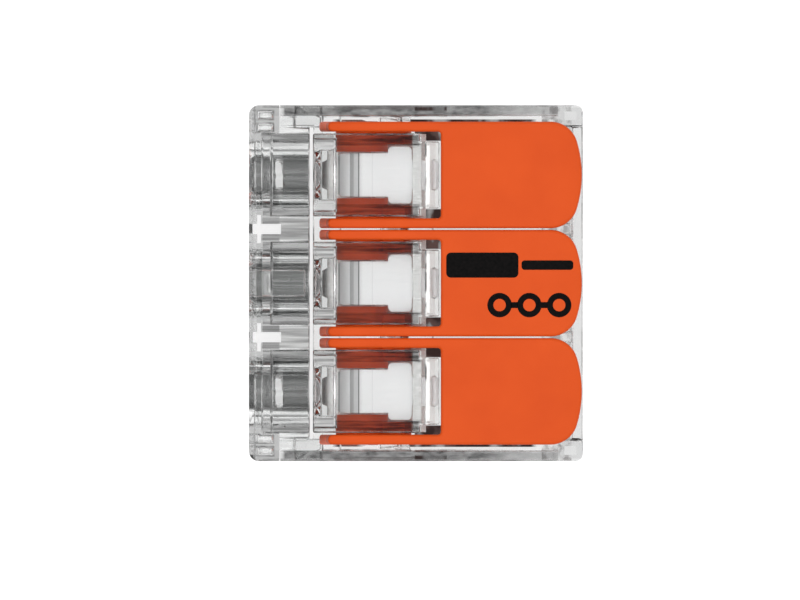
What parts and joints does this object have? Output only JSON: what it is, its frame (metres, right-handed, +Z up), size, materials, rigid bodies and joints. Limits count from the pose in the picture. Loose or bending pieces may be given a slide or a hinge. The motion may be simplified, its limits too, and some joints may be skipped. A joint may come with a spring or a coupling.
{
  "type": "lever wire connector",
  "caption": "Compact clear splicing connector for electrical conductors, with wire entries along the front and flat orange release levers on top.",
  "frame": {"origin": "centre of the footprint, on the base plane", "axes": "+X from the wire entries towards the levers' tips, +Y across the poles, +Z up through the levers"},
  "size_m": [0.0212, 0.0228, 0.0101],
  "materials": {
    "clear_housing": "clear glossy polycarbonate",
    "clear_cover": "clear glossy polycarbonate",
    "tinned_busbar": "satin tin plating on copper",
    "spring_steel": "bright rolled stainless spring steel",
    "orange_lever": "satin orange moulded plastic"
  },
  "bodies": {
    "housing": {"housing_body": "clear_housing", "entry_cover": "clear_cover", "busbar": "tinned_busbar", "spring_1": "spring_steel", "spring_2": "spring_steel", "spring_3": "spring_steel"},
    "lever_1": {"lever_1": "orange_lever"},
    "clamp_leg_1": {"clamp_leg_1": "spring_steel"},
    "lever_2": {"lever_2": "orange_lever"},
    "clamp_leg_2": {"clamp_leg_2": "spring_steel"},
    "lever_3": {"lever_3": "orange_lever"},
    "clamp_leg_3": {"clamp_leg_3": "spring_steel"}
  },
  "joints": [
    {"name": "lever_1_pivot", "type": "hinge", "parent": "housing", "child": "lever_1", "pos_m": [-0.00345, 0.0069, 0.005], "axis": [0, -1, 0], "range_deg": [0, 90]},
    {"name": "clamp_leg_1_flex", "type": "hinge", "parent": "housing", "child": "clamp_leg_1", "pos_m": [-0.00365, 0.0069, 0.00655], "axis": [0, -1, 0], "range_deg": [0, 35]},
    {"name": "lever_2_pivot", "type": "hinge", "parent": "housing", "child": "lever_2", "pos_m": [-0.00345, 0, 0.005], "axis": [0, -1, 0], "range_deg": [0, 90]},
    {"name": "clamp_leg_2_flex", "type": "hinge", "parent": "housing", "child": "clamp_leg_2", "pos_m": [-0.00365, 0, 0.00655], "axis": [0, -1, 0], "range_deg": [0, 35]},
    {"name": "lever_3_pivot", "type": "hinge", "parent": "housing", "child": "lever_3", "pos_m": [-0.00345, -0.0069, 0.005], "axis": [0, -1, 0], "range_deg": [0, 90]},
    {"name": "clamp_leg_3_flex", "type": "hinge", "parent": "housing", "child": "clamp_leg_3", "pos_m": [-0.00365, -0.0069, 0.00655], "axis": [0, -1, 0], "range_deg": [0, 35]}
  ],
  "couplings": [
    {"joint": "clamp_leg_1_flex", "follows": "lever_1_pivot", "ratio": 0.385},
    {"joint": "clamp_leg_2_flex", "follows": "lever_2_pivot", "ratio": 0.385},
    {"joint": "clamp_leg_3_flex", "follows": "lever_3_pivot", "ratio": 0.385}
  ]
}
